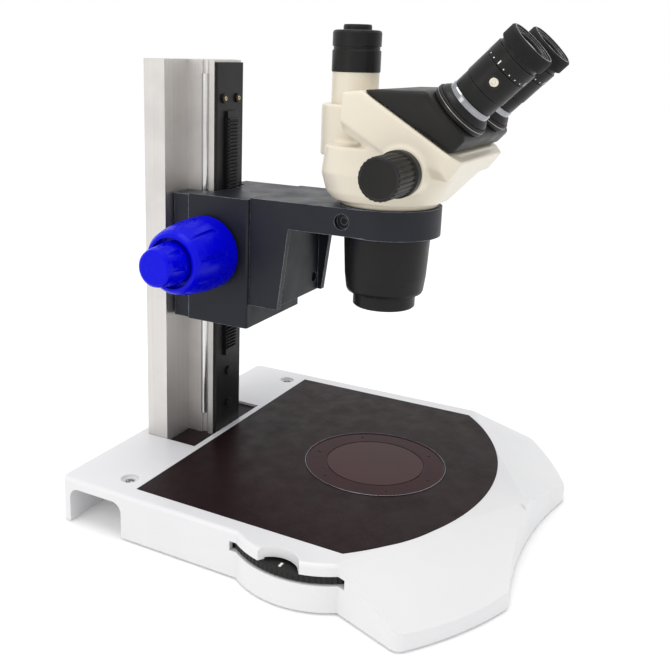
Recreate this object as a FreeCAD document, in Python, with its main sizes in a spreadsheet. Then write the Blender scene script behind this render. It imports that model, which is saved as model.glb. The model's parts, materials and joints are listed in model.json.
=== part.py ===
import FreeCAD, Part
import math
import os
import Sketcher
from FreeCAD import Placement, Rotation, Vector

# Stereo microscope on a mirror base.  Millimetres, +Z up, user at -Y, column at +Y.
# The origin is the middle of the footprint, on the bench.  The optical axis is x = 0, y = axis_y.

SIZES = {
    # base casting
    "base_top": 41, "base_bottom": 2, "base_half": 165, "base_rear": 184.5, "wall": 5,
    "top_wall": 8, "corner_r": 8, "edge_r": 3.5,
    "bulge_x": 104.4, "bulge_r": 74.3, "bulge_half": 43,
    "flare_x": 184.5, "flare_y": -131.8, "flare_start_y": -82.7,
    "horn_x": 95, "horn_y": -184, "horn_mid_x": 142.5, "horn_mid_y": -161.8, "front_mid_y": -172.6,
    "slope_inset": 60, "slope_drop": 25,
    "arch_front": 119.6, "arch_rear": 173.8, "arch_top": 32.5, "arch_r": 9,
    "foot_r": 11, "foot_squeeze": 0.95, "foot_height": 8, "foot_x": 150, "foot_rear_y": 105,
    "foot_front_y": -120,
    "clip_x": 138.3, "clip_y": 130.6, "clip_head_r": 7.6, "clip_hole_r": 3.75, "clip_head_depth": 2.5,
    "clip_depth": 8,
    # stage
    "axis_y": -35, "plate_half": 150, "plate_rear": 114.4, "plate_corner_y": -74.2,
    "plate_apex_y": -138.3, "plate_thick": 1.5, "stage_ring_r": 62.4, "stage_ring_gap": 0.4,
    "stage_ring_step": 56, "stage_ring_low": 37.5, "stage_ring_proud": 0.6,
    "stage_lip_r": 43, "stage_open_r": 38.8, "glass_thick": 2,
    # mirror and its wheel
    "wheel_r": 73.3, "wheel_low": 24.2, "wheel_thick": 7, "wheel_slot_gap": 0.35,
    "wheel_axle_r": 4, "wheel_boss_r": 9, "wheel_room_r": 76, "cover_thick": 2,
    "mirror_z": 18, "mirror_half": 24, "mirror_thick": 3, "shaft_r": 2.5,
    "roller_r": 6.1, "roller_x": 92, "roller_width": 6, "notch_r": 19.5, "notch_x": 186,
    # column
    "column_top": 387, "column_low": 38.5, "flange_half": 57.2, "flange_front": 151.3,
    "flange_rear": 173, "neck_half": 22, "neck_front": 124, "groove_y": 132.9, "rod_r": 3.4,
    "rod_x": 22.3, "rod_low": 60, "rod_high": 375, "recess_floor": 37, "recess_half": 57.5,
    "recess_front": 120.4,
    "rack_plate_thick": 3, "rack_plate_half": 20.5, "rack_plate_high": 385,
    "rack_half": 8, "rack_low": 115, "rack_high": 343, "rack_tip_y": 116, "gear_module": 1,
    "screw_spread": 11, "top_screw_z": 354, "plate_screw_r": 4.2,
    "pinion_teeth": 12, "knob_y": 111, "knob_z": 224.5,
    # carriage
    "carriage_half": 48.3, "carriage_front": 72.2, "carriage_low": 160, "carriage_high": 273.7,
    "carriage_rear": 133, "jaw_rear": 149.8, "channel_half": 27.3, "strip_thick": 1.4,
    "strip_gap": 0.1, "carriage_edge": 2, "running_gap": 0.05,
    "pinion_r": 4.7, "fine_shaft_r": 2.5, "bush_r": 8, "bush_flange_r": 11, "bush_flange": 3.2,
    "bush_length": 10,
    # focus knobs
    "coarse_start": 52, "coarse_r": 32, "coarse_end_r": 27, "coarse_length": 54,
    "coarse_recess_r": 21.5, "coarse_recess": 8, "fine_start": 98.5, "fine_r": 18,
    "fine_end_r": 16.4, "fine_length": 30.5, "fine_socket": 22, "flute_r": 2.6,
    "coarse_groove_start": 14, "coarse_groove_taper": 5.5, "fine_flute_r": 3,
    # arm bracket and clamp ring
    "arm_half": 45, "arm_low": 181, "arm_high": 275, "arm_plate_low": 252, "back_front": 48,
    "rib_thick": 6, "rib_low_y": 44, "rib_high_y": 35, "ring_r": 44, "ring_bore_r": 38.05,
    "ring_low": 251.4, "ring_high": 275.4, "clamp_y": -13, "clamp_z": 263.7,
    "clamp_head_r": 6.5, "clamp_screw_r": 3,
    # head
    "spigot_r": 38, "flange_r": 41, "flange_high": 280, "body_half": 60, "light_r": 27,
    "housing_r": 36.1, "housing_low_r": 32.6, "housing_high": 250.6, "housing_low": 200.5,
    "thread_r": 31, "thread_high": 262,
    "nose_r": 26.3, "nose_low": 188.5, "lens_r": 21, "cover_half": 60, "cover_wall": 3,
    "hump_r": 27, "hump_low": 313, "hump_high": 355, "photo_r": 19.3, "photo_seat": 345,
    "photo_high": 380.4, "port_r": 20, "port_groove_low": 398, "port_groove_high": 400.5,
    "port_high": 413.6, "port_bore_r": 11, "cap_r": 11.6, "cap_high": 418,
    "zoom_y": -67, "zoom_z": 309, "zoom_start": 62, "zoom_length": 40, "zoom_r": 16.5,
    "zoom_flange_r": 17.9, "zoom_flange": 7, "zoom_shaft_r": 3, "zoom_socket": 26,
    "zoom_flute_r": 1.4, "prism_x": 29, "prism_half": 12, "lens_tube_x": 11, "lens_tube_r": 9,
    # eyepieces
    "eye_x": 30, "face_y": -98, "face_z": 353.7, "hinge_side": 1, "hinge_down": 4.39,
    "turret_r": 24, "turret_thick": 6.5, "pivot_r": 12, "pivot_length": 8,
    "tube_ring_r": 18.6, "tube_r": 17, "tube_length": 27.5, "barrel_r": 18.4, "barrel_length": 20,
    "diopter_r": 18.6, "diopter_length": 14.6, "cup_r": 19.8, "cup_length": 11,
    "eye_bore_r": 12.5, "lock_r": 4, "lock_proud": 1.6,
    # shared small sizes
    "bevel": 1, "screw_r": 2.5, "screw_head_r": 4.6, "screw_head": 3, "screw_recess": 6,
}

ABOUT_X = Rotation(Vector(0, 0, -1), Vector(0, 1, 0), Vector(1, 0, 0), "ZYX")
ABOUT_MINUS_X = Rotation(Vector(0, 0, 1), Vector(0, 1, 0), Vector(-1, 0, 0), "ZYX")
EYE_TILT = Rotation(Vector(1, 0, 0), 45)

doc = FreeCAD.newDocument("StereoMicroscope")


class Size:
    """A length on the sheet, or a sum of such lengths: its value and its expression."""

    def __init__(self, value, text):
        self.value = float(value)
        self.text = text

    def __add__(self, other):
        other = as_size(other)
        return Size(self.value + other.value, f"({self.text} + {other.text})")

    def __sub__(self, other):
        other = as_size(other)
        return Size(self.value - other.value, f"({self.text} - {other.text})")

    def __mul__(self, factor):
        return Size(self.value * factor, f"({self.text} * {factor})")

    def __truediv__(self, divisor):
        return self * (1 / divisor)

    def __neg__(self):
        return Size(-self.value, f"(0 - {self.text})")

    def __float__(self):
        return self.value


def as_size(number):
    return number if isinstance(number, Size) else Size(number, repr(float(number)))


class Sheet:
    """The driving dimensions: each alias is an attribute that gives its Size."""

    def __init__(self, values):
        table = doc.addObject("Spreadsheet::Sheet", "sizes")
        for row, (alias, value) in enumerate(values.items(), start=1):
            table.set(f"A{row}", alias)
            table.set(f"B{row}", str(value))
            table.setAlias(f"B{row}", alias)
            setattr(self, alias, Size(value, f"sizes.{alias}"))


d = Sheet(SIZES)
doc.recompute()
pieces = []


# ---------------------------------------------------------------- building helpers

def place(piece, at, turn=Rotation()):
    """Sets the rotation, and binds the three coordinates to the sheet."""
    spot = [as_size(value) for value in at]
    piece.Placement = Placement(Vector(*[float(value) for value in spot]), turn)
    for name, value in zip("xyz", spot):
        piece.setExpression(f"Placement.Base.{name}", value.text)


def new_body(label):
    body = doc.addObject("PartDesign::Body", label)
    body.Label = label
    pieces.append(body)
    return body


def new_sketch(body, name, role):
    sketch = body.newObject("Sketcher::SketchObject", name)
    plane = [item for item in body.Origin.OriginFeatures if item.Role == role][0]
    sketch.AttachmentSupport = (plane, [""])
    sketch.MapMode = "FlatFace"
    return sketch


def fix_coordinate(sketch, line, kind, axis, value):
    """Holds one coordinate of a line's start: on the axis itself, or at a bound distance."""
    if abs(value.value) < 1e-9:
        sketch.addConstraint(Sketcher.Constraint("PointOnObject", line, 1, axis))
        return
    number = sketch.addConstraint(Sketcher.Constraint(kind, line, 1, value.value))
    sketch.setExpression(f"Constraints[{number}]", value.text)


def draw_outline(sketch, points):
    """A closed outline of straight lines through points whose coordinates are Sizes."""
    points = [(as_size(across), as_size(up)) for across, up in points]
    spots = [Vector(float(across), float(up), 0) for across, up in points]
    lines = []
    for start, end in zip(spots, spots[1:] + spots[:1]):
        lines.append(sketch.addGeometry(Part.LineSegment(start, end), False))
    for line, following in zip(lines, lines[1:] + lines[:1]):
        sketch.addConstraint(Sketcher.Constraint("Coincident", line, 2, following, 1))
    for line, (across, up) in zip(lines, points):
        fix_coordinate(sketch, line, "DistanceX", -2, across)
        fix_coordinate(sketch, line, "DistanceY", -1, up)


def draw_circle(sketch, across, up, radius):
    """A bound circle whose centre is at a bound place."""
    across, up, radius = as_size(across), as_size(up), as_size(radius)
    centre = Vector(float(across), float(up), 0)
    circle = sketch.addGeometry(Part.Circle(centre, Vector(0, 0, 1), float(radius)), False)
    number = sketch.addConstraint(Sketcher.Constraint("Radius", circle, float(radius)))
    sketch.setExpression(f"Constraints[{number}]", radius.text)
    for kind, axis, value in (("DistanceX", -2, across), ("DistanceY", -1, up)):
        if abs(value.value) < 1e-9:
            sketch.addConstraint(Sketcher.Constraint("PointOnObject", circle, 3, axis))
            continue
        number = sketch.addConstraint(Sketcher.Constraint(kind, circle, 3, value.value))
        sketch.setExpression(f"Constraints[{number}]", value.text)


def turned(label, profile, at, turn=Rotation()):
    """A lathe-turned piece: a profile of (radius, height) revolved about its own Z axis."""
    body = new_body(label)
    sketch = new_sketch(body, label + "_profile", "XZ_Plane")
    draw_outline(sketch, profile)
    spin = body.newObject("PartDesign::Revolution", label + "_turn")
    spin.Profile = sketch
    spin.ReferenceAxis = (sketch, ["V_Axis"])
    spin.Angle = 360
    body.Tip = spin
    place(body, at, turn)
    return body


def padded(label, outline, thick, at, turn=Rotation()):
    """A plate: an outline of (x, y) in its own plane, padded along its own Z axis."""
    body = new_body(label)
    sketch = new_sketch(body, label + "_outline", "XY_Plane")
    draw_outline(sketch, outline)
    pad = body.newObject("PartDesign::Pad", label + "_pad")
    pad.Profile = sketch
    thick = as_size(thick)
    pad.Length = float(thick)
    pad.setExpression("Length", thick.text)
    body.Tip = pad
    place(body, at, turn)
    return body


def rectangle(low_x, low_y, high_x, high_y):
    return [(low_x, low_y), (high_x, low_y), (high_x, high_y), (low_x, high_y)]


def cut_flutes(body, circle_r, tool_r, first, length, count, taper=0):
    """Finger grooves: one round-bottomed groove along the rim, repeated round the axis.

    taper is the angle in degrees by which a groove closes in on the axis."""
    sketch = new_sketch(body, body.Label + "_flute", "XY_Plane")
    offset = as_size(first)
    lean = Rotation(Vector(0, 1, 0), -taper)
    sketch.AttachmentOffset = Placement(Vector(0, 0, float(offset)), lean)
    sketch.setExpression("AttachmentOffset.Base.z", offset.text)
    draw_circle(sketch, circle_r, 0, tool_r)
    groove = body.newObject("PartDesign::Pocket", body.Label + "_groove")
    groove.Profile = sketch
    groove.Reversed = True
    length = as_size(length)
    groove.Length = float(length)
    groove.setExpression("Length", length.text)
    ring = body.newObject("PartDesign::PolarPattern", body.Label + "_grooves")
    ring.Originals = [groove]
    axis = [item for item in body.Origin.OriginFeatures if item.Role == "Z_Axis"][0]
    ring.Axis = (axis, [""])
    ring.Angle = 360
    ring.Occurrences = count
    body.Tip = ring


def shaped(label, shape):
    """A piece whose shape is made by code that reads the sheet."""
    piece = doc.addObject("Part::Feature", label)
    piece.Label = label
    piece.Shape = shape
    pieces.append(piece)
    return piece


def block(low_x, low_y, low_z, high_x, high_y, high_z):
    low = Vector(float(low_x), float(low_y), float(low_z))
    high = Vector(float(high_x), float(high_y), float(high_z))
    size = high - low
    return Part.makeBox(size.x, size.y, size.z, low)


def rod(radius, start, end):
    """A round solid from one point to another."""
    start, end = [Vector(*[float(value) for value in point]) for point in (start, end)]
    along = end - start
    return Part.makeCylinder(float(radius), along.Length, start, along)


def prism(points, half):
    """A side outline of (y, z) points, as a solid from x = -half to x = half."""
    corners = [Vector(-float(half), float(y), float(z)) for y, z in points]
    face = Part.Face(Part.makePolygon(corners + corners[:1]))
    return face.extrude(Vector(2 * float(half), 0, 0))


def arc(start, middle, end):
    return Part.Arc(Vector(*start), Vector(*middle), Vector(*end)).toShape()


def line(start, end):
    return Part.LineSegment(Vector(*start), Vector(*end)).toShape()


def upright_edges(shape, keep):
    """Edges that run along Z and satisfy keep(x, y)."""
    found = []
    for edge in shape.Edges:
        ends = [vertex.Point for vertex in edge.Vertexes]
        if len(ends) == 2 and (ends[0] - ends[1]).cross(Vector(0, 0, 1)).Length < 1e-6:
            if keep(ends[0].x, ends[0].y):
                found.append(edge)
    return found


# ---------------------------------------------------------------- base

def base_outline(level):
    """The footprint: straight sides, a round bulge for the wheel, and two flared front horns."""
    half, rear = float(d.base_half), float(d.base_rear)
    middle, reach = float(d.axis_y), float(d.bulge_half)
    bulge_edge = -float(d.bulge_x + d.bulge_r)
    flare = (float(d.flare_x), float(d.flare_y), level)
    flare_start = (half + 1.7, float(d.flare_start_y), level)
    horn = (float(d.horn_x), float(d.horn_y), level)
    horn_mid = (float(d.horn_mid_x), float(d.horn_mid_y), level)

    def left(point):
        return (-point[0], point[1], level)

    bulge_top, bulge_end = (-half, middle + reach, level), (-half, middle - reach, level)
    edges = [
        line((half, rear, level), (-half, rear, level)),
        line((-half, rear, level), bulge_top),
        arc(bulge_top, (bulge_edge, middle, level), bulge_end),
        line(bulge_end, left(flare_start)),
        line(left(flare_start), left(flare)),
        arc(left(flare), left(horn_mid), left(horn)),
        arc(left(horn), (0, float(d.front_mid_y), level), horn),
        arc(horn, horn_mid, flare),
        line(flare, flare_start),
        line(flare_start, (half, rear, level)),
    ]
    return Part.Wire(Part.__sortEdges__(edges))


def horn_slopes():
    """Two wedges that take the top down towards the middle of each horn's front edge."""
    wedges = []
    top = float(d.base_top)
    for side in (-1, 1):
        corner = Vector(side * float(d.flare_x), float(d.flare_y), top)
        tip = Vector(side * float(d.horn_x), float(d.horn_y), top)
        along = (tip - corner).normalize()
        outward = Vector(-along.y, along.x, 0) * (1 if side > 0 else -1)
        if outward.dot(Vector(side, -1, 0)) < 0:
            outward = outward * -1
        inset = outward * -float(d.slope_inset)
        reach = outward * 60
        drop = Vector(0, 0, -float(d.slope_drop) * (1 + 60 / float(d.slope_inset)))
        stretch = along * 120
        foot = (corner + tip) * 0.5 + inset
        section = [foot - stretch, foot - stretch - inset + reach + drop,
                   foot - stretch - inset + reach + Vector(0, 0, 20), foot - stretch + Vector(0, 0, 20)]
        face = Part.Face(Part.makePolygon(section + section[:1]))
        wedges.append(face.extrude(stretch * 2))
    return wedges


def stage_outline(level, thick, gap):
    """The stage plate's outline: three straight sides and a round front."""
    half, rear = float(d.plate_half) + gap, float(d.plate_rear) + gap
    corner, apex = float(d.plate_corner_y), float(d.plate_apex_y) - gap
    wire = Part.Wire([
        line((-half, corner, level), (-half, rear, level)),
        line((-half, rear, level), (half, rear, level)),
        line((half, rear, level), (half, corner, level)),
        arc((half, corner, level), (0, apex, level), (-half, corner, level)),
    ])
    return Part.Face(wire).extrude(Vector(0, 0, thick))


def arch_tunnel():
    """The round-cornered arch through both side walls at the rear."""
    tunnel = block(-d.flare_x, d.arch_front, 0, d.flare_x, d.arch_rear, d.arch_top)
    top_edges = []
    for edge in tunnel.Edges:
        ends = [vertex.Point for vertex in edge.Vertexes]
        level = abs(ends[0].z - float(d.arch_top)) < 1e-6 and abs(ends[1].z - ends[0].z) < 1e-6
        if level and abs(ends[0].y - ends[1].y) < 1e-6:
            top_edges.append(edge)
    return tunnel.makeFillet(float(d.arch_r), top_edges)


def mechanism_room(low, high, gap):
    """The room under the stage for the mirror and its wheel, made smaller all round by a gap."""
    wheel_x, centre = -float(d.bulge_x), float(d.axis_y)
    room = rod(d.wheel_room_r - gap, (wheel_x, centre, low), (wheel_x, centre, high))
    room = room.common(block(d.wall + gap - d.base_half, -d.base_half, low, 0, d.base_half, high))
    bulge = rod(d.bulge_r - d.wall - gap, (wheel_x, centre, low), (wheel_x, centre, high))
    well = rod(d.stage_ring_step - gap, (0, centre, low), (0, centre, high))
    return room.fuse([bulge, well]).removeSplitter()


def make_base_casting():
    top, bottom = float(d.base_top), float(d.base_bottom)
    roof = top - float(d.top_wall)
    solid = Part.Face(base_outline(bottom)).extrude(Vector(0, 0, top - bottom))
    corners = upright_edges(solid, lambda x, y: y > 150 or abs(x) > 180 or y < -180)
    solid = solid.makeFillet(float(d.corner_r), corners)
    rim = [edge for edge in solid.Edges if edge.BoundBox.ZMin > top - 1e-3]
    solid = solid.makeFillet(float(d.edge_r), rim)
    for wedge in horn_slopes():
        solid = solid.cut(wedge)

    # the room for the mirror and its wheel, the seats of the feet, and the boss for the wheel's axle
    solid = solid.cut(mechanism_room(bottom, roof, 0))
    for x in (-float(d.foot_x), float(d.foot_x)):
        for y in (d.foot_rear_y, d.foot_front_y):
            solid = solid.cut(rod(d.foot_r - d.foot_squeeze, (x, y, 0), (x, y, d.foot_height)))
    wheel_x, wheel_y = -float(d.bulge_x), float(d.axis_y)
    boss_low = d.wheel_low + d.wheel_thick + 0.5
    solid = solid.fuse(rod(d.wheel_boss_r, (wheel_x, wheel_y, boss_low), (wheel_x, wheel_y, roof + 1)))
    solid = solid.cut(rod(d.wheel_axle_r + 0.02, (wheel_x, wheel_y, 0), (wheel_x, wheel_y, roof + 0.2)))

    # recesses in the top: stage plate, ring seat, light opening, column foot
    plate_seat = top - float(d.plate_thick)
    solid = solid.cut(stage_outline(plate_seat, 5, 0.2))
    seat_r = d.stage_ring_r + d.stage_ring_gap / 2
    solid = solid.cut(rod(seat_r, (0, d.axis_y, d.stage_ring_low), (0, d.axis_y, top)))
    solid = solid.cut(rod(d.stage_ring_step, (0, d.axis_y, bottom), (0, d.axis_y, top)))
    solid = solid.cut(block(-d.recess_half, d.recess_front, d.recess_floor,
                            d.recess_half, d.flange_rear + 0.3, top))
    solid = solid.cut(arch_tunnel())

    # wheel slot through the bulge, with the round notch that shows the wheel's index mark
    slot_low = d.wheel_low - d.wheel_slot_gap
    slot_high = d.wheel_low + d.wheel_thick + d.wheel_slot_gap
    slot = rod(d.wheel_r + 12, (-d.bulge_x, d.axis_y, slot_low), (-d.bulge_x, d.axis_y, slot_high))
    reach = d.bulge_half + 6
    window = block(-d.bulge_x - d.bulge_r - 20, d.axis_y - reach, slot_low,
                   -d.base_half + d.wall + 1, d.axis_y + reach, slot_high)
    solid = solid.cut(slot.common(window))
    notch = rod(d.notch_r, (-d.notch_x, d.axis_y, slot_low), (-d.notch_x, d.axis_y, top + 1))
    solid = solid.cut(notch)

    for x in (-float(d.clip_x), float(d.clip_x)):
        sink = top - float(d.clip_head_depth)
        solid = solid.cut(rod(d.clip_head_r, (x, d.clip_y, sink), (x, d.clip_y, top)))
        solid = solid.cut(rod(d.clip_hole_r + 1.5, (x, d.clip_y, 0), (x, d.clip_y, top)))
    return solid.removeSplitter()


def rounded(solid, edges, radius):
    """Fillets edges together, or one at a time where the whole set can't be rounded at once."""
    try:
        result = solid.makeFillet(radius, edges)
        if result.isValid():
            return result
    except Part.OCCError:
        pass
    for edge in edges:
        try:
            result = solid.makeFillet(radius, [edge])
            if result.isValid() and result.Volume > 0.9 * solid.Volume:
                solid = result
        except Part.OCCError:
            continue
    return solid


def make_feet():
    shapes = []
    for side in (-1, 1):
        for y in (d.foot_rear_y, d.foot_front_y):
            x = side * float(d.foot_x)
            shapes.append(rod(d.foot_r - 1, (x, y, 0), (x, y, d.foot_height)))
    return Part.makeCompound([shape.makeFillet(1, [shape.Edges[2]]) for shape in shapes])


def build_base():
    shaped("base_casting", make_base_casting())
    shaped("rubber_feet", make_feet())
    plate = stage_outline(float(d.base_top - d.plate_thick), float(d.plate_thick), 0)
    hole = rod(d.stage_ring_r + d.stage_ring_gap / 2, (0, d.axis_y, 0), (0, d.axis_y, 60))
    shaped("stage_plate", plate.cut(hole))

    proud = d.base_top - d.stage_ring_low + d.stage_ring_proud
    seat = d.base_top - d.stage_ring_low - d.glass_thick
    turned("stage_ring",
           [(d.stage_open_r, 0), (d.stage_ring_r, 0), (d.stage_ring_r, proud - d.bevel / 2),
            (d.stage_ring_r - d.bevel / 2, proud), (d.stage_ring_r - d.bevel * 1.5, proud),
            (d.stage_ring_r - d.bevel * 2, proud - d.bevel / 2),
            (d.stage_lip_r + d.bevel, proud - d.bevel / 2), (d.stage_lip_r, proud - d.bevel),
            (d.stage_lip_r, seat), (d.stage_open_r, seat)],
           (0, d.axis_y, d.stage_ring_low))
    turned("stage_glass",
           [(0, 0), (d.stage_lip_r - 0.2, 0), (d.stage_lip_r - 0.2, d.glass_thick), (0, d.glass_thick)],
           (0, d.axis_y, d.base_top - d.glass_thick))

    bushes = []
    for side in (-1, 1):
        x = side * float(d.clip_x)
        low, high = d.base_top - d.clip_depth, d.base_top - d.clip_head_depth
        bush = rod(d.clip_hole_r + 1.5, (x, d.clip_y, low), (x, d.clip_y, high))
        bush = bush.cut(rod(d.clip_hole_r, (x, d.clip_y, low), (x, d.clip_y, high)))
        bushes.append(bush)
    shaped("clip_hole_bushes", Part.makeCompound(bushes))


# ---------------------------------------------------------------- mirror and wheel

def build_mirror():
    hub = d.wheel_axle_r + d.running_gap
    rim = d.bevel * 1.5
    turned("mirror_wheel",
           [(hub, 0), (d.wheel_r - rim, 0), (d.wheel_r, rim), (d.wheel_r, d.wheel_thick - rim),
            (d.wheel_r - rim, d.wheel_thick), (d.wheel_r - 14, d.wheel_thick),
            (d.wheel_r - 17, d.wheel_thick - 2), (hub, d.wheel_thick - 2)],
           (-d.bulge_x, d.axis_y, d.wheel_low))
    cut_flutes(pieces[-1], d.wheel_r + 0.9, 1.6, 0, d.wheel_thick, 110)
    low = d.wheel_low - 4.2
    top = d.base_top - d.top_wall - low
    turned("wheel_axle",
           [(0, 0), (d.wheel_axle_r + 4, 0), (d.wheel_axle_r + 4, 4), (d.wheel_axle_r, 4),
            (d.wheel_axle_r, top), (0, top)],
           (-d.bulge_x, d.axis_y, low))
    reach = d.mirror_half + 4
    turned("mirror_shaft",
           [(0, 0), (d.shaft_r, 0), (d.shaft_r, d.roller_x + reach + 2), (0, d.roller_x + reach + 2)],
           (-d.roller_x - 3, d.axis_y, d.mirror_z), ABOUT_X)
    turned("friction_roller",
           [(d.shaft_r, 0), (d.roller_r - 0.5, 0), (d.roller_r, 0.5), (d.roller_r, d.roller_width - 0.5),
            (d.roller_r - 0.5, d.roller_width), (d.shaft_r, d.roller_width)],
           (-d.roller_x - d.roller_width / 2, d.axis_y, d.mirror_z), ABOUT_X)

    half, length = float(d.mirror_half), 20
    centre = float(d.axis_y)
    low = float(d.mirror_z + d.shaft_r)
    holder = block(-half, centre - length, low, half, centre + length, low + 2)
    for side in (-1, 1):
        ear = rod(d.shaft_r + 2, (side * half, centre, d.mirror_z), (side * (half - 4), centre, d.mirror_z))
        holder = holder.fuse(ear)
    holder = holder.cut(rod(d.shaft_r, (-60, centre, d.mirror_z), (60, centre, d.mirror_z)))
    shaped("mirror_holder", holder.removeSplitter())
    padded("mirror_glass",
           rectangle(-d.mirror_half + 1, d.axis_y - 19, d.mirror_half - 1, d.axis_y + 19),
           d.mirror_thick, (0, 0, d.mirror_z + d.shaft_r + 2))

    shaped("mechanism_cover", make_mechanism_cover(reach))


def make_mechanism_cover(bearing_x):
    """The plate that closes the room from below, with two posts that carry the mirror shaft."""
    low = float(d.base_bottom)
    plate = mechanism_room(low, low + float(d.cover_thick), 0.15)
    centre = float(d.axis_y)
    for x in (-60, float(bearing_x)):
        post = block(x - 3, centre - 6, low + 1, x + 3, centre + 6, d.mirror_z + 4)
        plate = plate.fuse(post)
        bore = rod(d.shaft_r + d.running_gap, (x - 9, centre, d.mirror_z), (x + 9, centre, d.mirror_z))
        plate = plate.cut(bore)
    return plate.removeSplitter()


# ---------------------------------------------------------------- column

def build_column():
    outline = [(-d.flange_half, d.flange_rear), (-d.flange_half, d.flange_front),
               (-d.neck_half, d.flange_front), (-d.neck_half, d.neck_front),
               (d.neck_half, d.neck_front), (d.neck_half, d.flange_front),
               (d.flange_half, d.flange_front), (d.flange_half, d.flange_rear)]
    body = padded("column", outline, d.column_top - d.column_low, (0, 0, d.column_low))
    sketch = new_sketch(body, "guide_grooves", "XY_Plane")
    for side in (-1, 1):
        draw_circle(sketch, d.rod_x * side, d.groove_y, d.rod_r + 0.02)
    groove = body.newObject("PartDesign::Pocket", "guide_groove_cut")
    groove.Profile = sketch
    groove.Reversed = True
    groove.Length = SIZES["column_top"]
    groove.setExpression("Length", "sizes.column_top")
    body.Tip = groove

    rods = []
    for x in (-d.rod_x, d.rod_x):
        rods.append(rod(d.rod_r, (x, d.groove_y, d.rod_low), (x, d.groove_y, d.rod_high)))
    shaped("guide_rods", Part.makeCompound(rods))

    edge = d.recess_half - 0.2
    foot = block(-edge, d.recess_front + 0.2, d.recess_floor, edge, d.flange_rear, d.column_low)
    shaped("column_foot_plate", foot)

    plate_front = d.neck_front - d.rack_plate_thick
    padded("rack_plate",
           rectangle(-d.rack_plate_half, plate_front, d.rack_plate_half, d.neck_front),
           d.rack_plate_high - d.column_low - 0.5, (0, 0, d.column_low + 0.5))

    pitch = math.pi * float(d.gear_module)
    addendum, dedendum = float(d.gear_module), 1.25 * float(d.gear_module)
    tip_y, root_y = float(d.rack_tip_y), float(d.rack_tip_y) + addendum + dedendum
    low, high = float(d.rack_low), float(d.rack_high)
    slope = math.tan(math.radians(20))
    backlash = 0.07
    tip_half = pitch / 4 - addendum * slope - backlash
    root_half = pitch / 4 + dedendum * slope - backlash
    first = -int((float(d.knob_z) - low - pitch) / pitch)
    last = int((high - float(d.knob_z) - pitch) / pitch)
    points = [(float(plate_front), low), (root_y, low)]
    for number in range(first, last):
        middle = float(d.knob_z) + (number + 0.5) * pitch
        points += [(root_y, middle - root_half), (tip_y, middle - tip_half),
                   (tip_y, middle + tip_half), (root_y, middle + root_half)]
    points += [(root_y, high), (float(plate_front), high)]
    shaped("rack", prism(points, d.rack_half))

    screws = []
    head_z = [float(d.column_low) + offset for offset in (26.5, 59)]
    spread = float(d.screw_spread)
    for x, z in [(0, head_z[0]), (0, head_z[1]), (-spread, d.top_screw_z), (spread, d.top_screw_z)]:
        screws.append(rod(d.plate_screw_r, (x, plate_front - 2, z), (x, plate_front, z)))
    shaped("rack_plate_screws", Part.makeCompound(screws))


# ---------------------------------------------------------------- carriage and focus drive

def make_carriage():
    body = block(-d.carriage_half, d.carriage_front, d.carriage_low,
                 d.carriage_half, d.carriage_rear, d.carriage_high)
    corners = upright_edges(body, lambda x, y: y < 80)
    body = body.makeFillet(float(d.carriage_edge), corners)
    plate_front = d.neck_front - d.rack_plate_thick
    body = body.cut(block(-d.channel_half, plate_front - 0.6, 0,
                          d.channel_half, d.carriage_rear + 1, d.column_top))
    rack_half = d.rack_half + 0.7
    body = body.cut(block(-rack_half, d.rack_tip_y - 0.7, 0, rack_half, d.carriage_rear, d.column_top))
    screw_room = d.screw_spread + d.plate_screw_r + 0.8
    body = body.cut(block(-screw_room, plate_front - 2.7, 0, screw_room, d.carriage_rear, d.column_top))
    pinion_room = d.gear_module * (SIZES["pinion_teeth"] / 2 + 1) + 1
    room = rod(pinion_room, (-rack_half, d.knob_y, d.knob_z), (rack_half, d.knob_y, d.knob_z))
    body = body.cut(room)
    for side in (-1, 1):
        outer = side * d.carriage_half.value
        inner = side * (d.carriage_half.value - d.bush_length.value)
        body = body.cut(rod(d.bush_r + 0.02, (outer, d.knob_y, d.knob_z), (inner, d.knob_y, d.knob_z)))
    return body.cut(rod(d.pinion_r + 0.6, (-60, d.knob_y, d.knob_z), (60, d.knob_y, d.knob_z)))


def make_pinion_shaft():
    """A hollow shaft with the pinion's twelve teeth cut in its middle."""
    module, teeth = float(d.gear_module), SIZES["pinion_teeth"]
    pitch_r = module * teeth / 2
    tip_r, root_r = pitch_r + module, pitch_r - 1.25 * module
    width = float(d.rack_half)
    core = rod(root_r, (-width, 0, 0), (width, 0, 0))
    core = core.fuse(rod(d.pinion_r, (-97, 0, 0), (97, 0, 0)))
    pitch_half, tip_half, root_half = 0.7, 0.34, 0.98
    for number in range(teeth):
        profile = [(root_r - 0.6, root_half), (pitch_r, pitch_half), (tip_r, tip_half),
                   (tip_r, -tip_half), (pitch_r, -pitch_half), (root_r - 0.6, -root_half)]
        tooth = prism(profile, width)
        tooth.rotate(Vector(0, 0, 0), Vector(1, 0, 0), 90 + number * 360 / teeth)
        core = core.fuse(tooth)
    core = core.cut(rod(d.fine_shaft_r + d.running_gap, (-98, 0, 0), (98, 0, 0)))
    core.translate(Vector(0, float(d.knob_y), float(d.knob_z)))
    return core.removeSplitter()


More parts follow.
